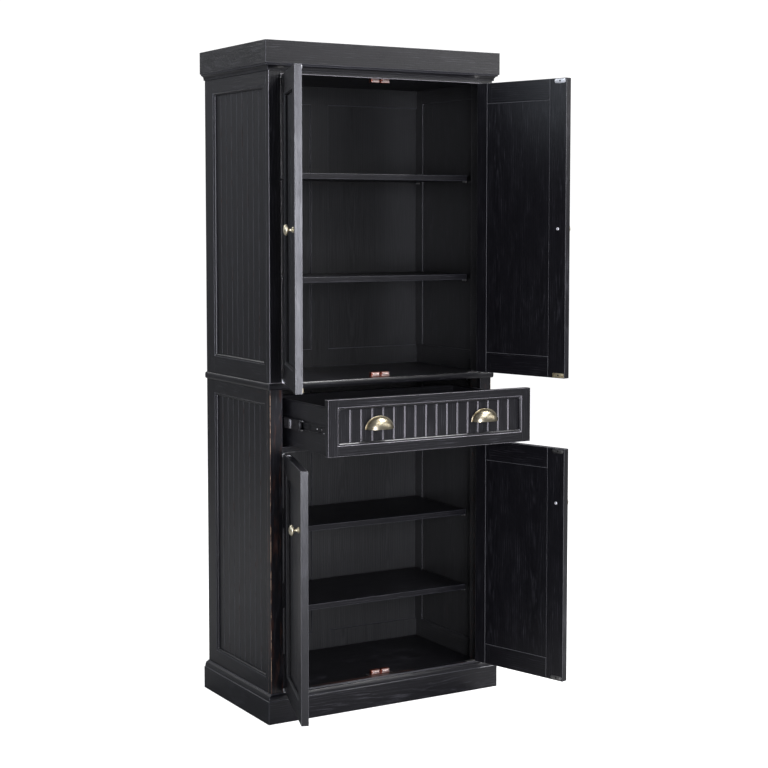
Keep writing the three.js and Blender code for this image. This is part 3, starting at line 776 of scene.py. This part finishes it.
STRIKE_LENGTH = 38
STRIKE_HEIGHT = 12
STRIKE_THICKNESS = 0.9
STRIKE_SCREWS = 12.3
STRIKE_FROM_EDGE = 3


def make_strikes(name, place):
    """The plates on the door's inside that the catches hold: round ends, two screws and a dimple.

    Each upper door's bottom plate is gilt, with nearly square ends.
    """
    low, high = box_mm(f"{name}_frame")
    inset = STRIKE_HEIGHT / 2 + 1.5
    from_hinge = DOOR_FREE_EDGE - STRIKE_FROM_EDGE - STRIKE_LENGTH / 2
    for end, height in (("bottom", low.z + inset), ("top", high.z - inset)):
        bm = bmesh.new()
        is_gilt = name.startswith("upper") and end == "bottom"
        ends = 4 if is_gilt else STRIKE_HEIGHT
        prism(bm, rounded_rectangle(STRIKE_LENGTH, STRIKE_HEIGHT, ends / 2), -0.3, STRIKE_THICKNESS, 0.35)
        for x in (-STRIKE_SCREWS, STRIKE_SCREWS):
            screw(bm, Matrix.Translation((x, 0, STRIKE_THICKNESS - 1)), 2.4)
        dimple = [(0, 0.7), (2.2, 0.7), (2.7, 1.0), (2.2, 1.2), (1.7, 1.0), (0, 0.95)]
        lathe(bm, dimple, IDENTITY, 20, 1)
        at = Matrix.Translation((from_hinge, DOOR_REAR, height)) @ facing((0, 1, 0))
        plate = NICKEL
        if name.startswith("upper"):
            plate = PALE_BRASS if is_gilt else WHITE_ZINC
        add_piece(f"{name}_{end}_strike", name, [plate, BLACK_PLASTIC], bm, place @ at)


def rounded_rectangle(length, width, radius, steps=8):
    """A rectangle outline with round corners, centred, long in X."""
    points = []
    for quarter, (side_x, side_y) in enumerate(((1, 1), (-1, 1), (-1, -1), (1, -1))):
        centre_x = side_x * (length / 2 - radius)
        centre_y = side_y * (width / 2 - radius)
        for i in range(steps + 1):
            turn = math.pi / 2 * (quarter + i / steps)
            points.append((centre_x + radius * math.cos(turn), centre_y + radius * math.sin(turn)))
    return [point for i, point in enumerate(points) if math.dist(point, points[i - 1]) > 0.01]


HINGE_LEAF = {"from": 3, "to": 40, "front": 4.5, "rear": 17, "thickness": 1}
HINGE_SCREWS = (15, 32)


def make_hinges(name, sign, place):
    """The screws of each door leaf, and the frame's own leaf on the rail above or below it."""
    hinge_line = Vector(joints[f"{name}_hinge"]["pos_m"]) / MM
    closed = Matrix.Translation((hinge_line.x, hinge_line.y, 0)) @ mirror_x(-sign)
    middle = (HINGE_LEAF["front"] + HINGE_LEAF["rear"]) / 2
    for end, up in (("top", 1), ("bottom", -1)):
        node = f"{name}_{end}_hinge"
        low, high = box_mm(node)
        leaf = high.z if up > 0 else low.z
        # The top hinges get the darker nickel as painted shade and the bottom ones the brighter zinc as
        # painted light: they are the same hinges.
        finish_metal_node(node, NICKEL if up > 0 else ZINC, 0.2 * MM)
        bm = bmesh.new()
        for x in HINGE_SCREWS:
            sunk = Matrix.Translation((x, middle, leaf - up * 0.95)) @ facing((0, 0, up))
            screw(bm, sunk, 2)
        add_piece(f"{node}_screws", name, [ZINC], bm, place)
        bm = bmesh.new()
        near = leaf + up * 0.5
        rail = near + up * HINGE_LEAF["thickness"]
        block(
            bm,
            (HINGE_LEAF["from"], HINGE_LEAF["front"], min(near, rail)),
            (HINGE_LEAF["to"], HINGE_LEAF["rear"], max(near, rail)),
            0.2,
        )
        for x in HINGE_SCREWS:
            sunk = Matrix.Translation((x, middle, rail - up * 0.22)) @ facing((0, 0, -up))
            screw(bm, sunk, 1.6)
        add_piece(f"{node}_frame_leaf", "cabinet", [NICKEL], bm, closed)


def make_door_hardware():
    """The knob, strikes and hinges of each door."""
    for level in LEVELS:
        for side, sign in SIDES:
            name = f"{level}_{side}_door"
            place = hardware_place(level, side, sign)
            make_knob(name, place)
            make_strikes(name, place)
            make_hinges(name, sign, place)


# ---- Catches ----

CATCH_SPACING = 16
CATCH_HALF = 13
POLE_HALF = 12


def make_catch(name):
    """A double catch: two copper-brown housings on a plate, each with steel pole plates and a nose."""
    low, high = box_mm(name)
    bm = bmesh.new()
    prism(bm, rounded_rectangle(62, 14, 4), 0, 1.6, 0.4, 0)
    bmesh.ops.translate(bm, vec=(0, 10, 0), verts=bm.verts)
    block(bm, (-5, 6, 1), (5, 15.5, 8), 1, 0)
    for side in (-1, 1):
        middle = side * CATCH_SPACING
        block(bm, (middle - CATCH_HALF, 3.5, 1), (middle + CATCH_HALF, 16.5, 12.8), 1.2, 0)
        for bottom, top in ((1.4, 4.6), (8.6, 12)):
            block(bm, (middle - POLE_HALF, 1.8, bottom), (middle + POLE_HALF, 4, top), 0.4, 1)
        nose = [(0, -9.5), (2.2, -9.5), (2.7, -9), (2.7, 9), (2.2, 9.5), (0, 9.5)]
        lathe(bm, nose, Matrix.Translation((middle, 3.3, 6.6)) @ facing((1, 0, 0)), 24, 1)
        for offset in (-4.5, 4.5):
            block(bm, (middle + offset - 0.9, 1.3, 4.4), (middle + offset + 0.9, 3, 8.8), 0.3, 2)
    screw(bm, Matrix.Translation((0, 6, 4.5)) @ facing((0, -1, 0)), 2.2, 2)
    base = low.z
    if name.endswith("top_catch"):
        base = high.z
        bm.transform(Matrix.Diagonal((1, 1, -1, 1)))
    place = Matrix.Translation((0, low.y, base))
    materials = [COPPER_BROWN, ROSE_STEEL, BLACK_PLASTIC]
    add_piece(f"{name}_detailed", "cabinet", materials, bm, place, [name])


def make_catches():
    for name in nodes:
        if name.endswith("_catch"):
            make_catch(name)


# ---- Drawer hardware ----

PULL_FLANGE = 3.2
PULL_WALL = 1.4
PULL_TURNS = 48
PULL_LEANS = 16
PULL_STEP = 2.2  # how far the flange's bead stands out, where the dome starts


def pull_row(turn, half_width, height, reach):
    """One section of a cup pull, from its flange's edge over the dome to the front."""
    across, up = math.cos(turn), math.sin(turn)
    rim = [(PULL_FLANGE, -0.4), (PULL_FLANGE, -1.4)]
    flange = rim + [(2.4, -1.9), (1.2, -1.7), (0.3, -1.6), (0, -PULL_STEP)]
    points = [((half_width + out) * across, y, (height + out) * up) for out, y in flange]
    for i in range(1, PULL_LEANS + 1):
        lean = math.pi / 2 * i / PULL_LEANS
        shrink = math.cos(lean) ** 0.85 if i < PULL_LEANS else 0
        y = -PULL_STEP - (reach - PULL_STEP) * math.sin(lean)
        points.append((half_width * across * shrink, y, height * up * shrink))
    return points


def make_pull(side):
    """A cup pull: a half dome, open underneath, rising from a thin beaded flange."""
    node = f"drawer_{side}_pull"
    low, high = box_mm(node)
    size = high - low
    bm = bmesh.new()
    rows = []
    for i in range(PULL_TURNS + 1):
        turn = math.pi * i / PULL_TURNS
        row = pull_row(turn, size.x / 2 - PULL_FLANGE, size.z - PULL_FLANGE, size.y - 0.3)
        rows.append([bm.verts.new(point) for point in row])
    for first, second in zip(rows, rows[1:]):
        for k in range(len(first) - 1):
            bm.faces.new((first[k], first[k + 1], second[k + 1], second[k]))
    bmesh.ops.remove_doubles(bm, verts=bm.verts, dist=0.01)
    bmesh.ops.recalc_face_normals(bm, faces=bm.faces)
    bmesh.ops.solidify(bm, geom=list(bm.faces), thickness=PULL_WALL)
    place = Matrix.Translation(((low.x + high.x) / 2, high.y, low.z))
    add_piece(f"{node}_cup", "drawer", [BRASS], bm, place, [node])


BALL = 1.35
BALL_PITCH = 7
BALLS = 12
BALL_STEPS = 8
RACE = 11.8  # from the slide's middle height to its rows of balls


def make_slide(side, sign):
    """The small parts of one telescopic slide. They are drawn for the right, with x outward."""
    for member in ("outer", "middle", "inner"):
        finish_metal_node(f"{side}_slide_{member}", BLACK_ZINC, 0.3 * MM)
    outward = facing((1, 0, 0))
    mirrored = mirror_x(sign)
    low, high = box_mm("right_slide_middle")
    middle = (low.z + high.z) / 2
    carriage = f"{side}_slide_carriage"

    bm = bmesh.new()
    turns = [math.pi * i / BALL_STEPS for i in range(1, BALL_STEPS)]
    ball = [(0, -BALL)] + [(BALL * math.sin(turn), -BALL * math.cos(turn)) for turn in turns] + [(0, BALL)]
    cage_from = low.y - 13
    cage_to = cage_from + BALL_PITCH * BALLS
    for row in (-1, 1):
        z = middle + row * RACE
        for i in range(BALLS):
            lathe(bm, ball, Matrix.Translation((low.x + 3.6, cage_from + 3 + BALL_PITCH * i, z)), 12)
        for inner, outer in ((4.4, 5), (2.2, 2.8)):
            block(bm, (low.x + inner, cage_from, z - 1.1), (low.x + outer, cage_to, z + 1.1), 0.2, 1)
    add_piece(f"{side}_slide_balls", carriage, [ZINC, NICKEL], bm, mirrored)

    bm = bmesh.new()
    block(bm, (low.x + 1, low.y - 2, middle - 8), (low.x + 7, low.y + 3, middle + 8), 0.6)
    add_piece(f"{side}_slide_stop", carriage, [BLACK_PLASTIC], bm, mirrored)

    bm = bmesh.new()
    prism(bm, rounded_rectangle(24, 9.5, 1.5), 0, 0.9, 0.25)
    prism(bm, slot_outline(11, 5), 0.5, 1.05, 0.1, 1)
    at = Matrix.Translation((high.x, low.y + 52, middle - 1)) @ outward
    at = at @ Matrix.Rotation(math.pi / 2, 4, "Z")
    add_piece(f"{side}_slide_clip", carriage, [ZINC, BLACK_PLASTIC], bm, mirrored @ at)

    low, high = box_mm("right_slide_inner")
    web = low.x + 1.2
    bm = bmesh.new()
    for y in (low.y + 24, low.y + 48, low.y + 200, low.y + 300):
        screw(bm, Matrix.Translation((web, y, middle)) @ outward, 2.6)
    add_piece(f"{side}_slide_screws", "drawer", [NICKEL], bm, mirrored)
    bm = bmesh.new()
    block(bm, (web - 0.2, low.y + 3, middle - 7), (web + 2, low.y + 10, middle + 7), 0.5, 1)
    block(bm, (web - 0.2, low.y + 5, middle - 8.4), (web + 2.4, low.y + 13, middle - 6.4), 0.4, 0)
    add_piece(f"{side}_slide_release", "drawer", [ZINC, BLACK_PLASTIC], bm, mirrored)


def make_drawer_hardware():
    for side, sign in SIDES:
        make_pull(side)
        make_slide(side, sign)


# ---- Shelf pins and cam fittings ----

PIN_REACH = 10
PIN_RADIUS = 2.5
PIN_COLLAR = 4
CAM_RADIUS = 7
CAM_HEIGHT = 880


def make_shelf_pins():
    """Four steel pins under each shelf, in the stiles of the side frames."""
    collar = [(0, -2), (PIN_COLLAR, -2), (PIN_COLLAR, 0.6), (PIN_COLLAR - 0.6, 1.2), (PIN_RADIUS, 1.2)]
    shank = [(PIN_RADIUS, PIN_REACH - 0.6), (PIN_RADIUS - 0.6, PIN_REACH), (0, PIN_REACH)]
    wall = INSIDE_HALF / MM
    for level in LEVELS:
        panel_low, panel_high = box_mm(f"{level}_right_side_panel")
        for shelf in ("high", "low"):
            low, high = box_mm(f"{level}_{shelf}_shelf")
            bm = bmesh.new()
            for sign in (-1, 1):
                for y in (max(low.y + 12, panel_low.y - 18), min(high.y - 12, panel_high.y + 14)):
                    at = Matrix.Translation((sign * wall, y, low.z - PIN_RADIUS)) @ facing((-sign, 0, 0))
                    lathe(bm, collar + shank, at, 24)
            add_piece(f"{level}_{shelf}_shelf_pins", "cabinet", [NICKEL], bm)


def make_cam_fittings():
    """The cams that draw the waist board down, in the drawer's bay, each with a bright screw above it."""
    _, post = box_mm("lower_face_frame")
    cam = [(0, -1), (CAM_RADIUS, -1), (CAM_RADIUS, 1.2), (CAM_RADIUS - 1, 2.2), (3, 2.2), (0, 1.4)]
    for side, sign in SIDES:
        at = Matrix.Translation((sign * INSIDE_HALF / MM, post.y + 20, CAM_HEIGHT)) @ facing((-sign, 0, 0))
        bm = bmesh.new()
        lathe(bm, cam, IDENTITY, 32, 1)
        screw(bm, Matrix.Translation((0, CAM_RADIUS + 4, 0)), 2.8)
        add_piece(f"{side}_waist_cam", "cabinet", [ZINC, BLACK_PLASTIC], bm, at)


_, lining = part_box("upper_ceiling_board")
INSIDE_HALF = lining.x
make_door_hardware()
make_catches()
make_drawer_hardware()
make_shelf_pins()
make_cam_fittings()
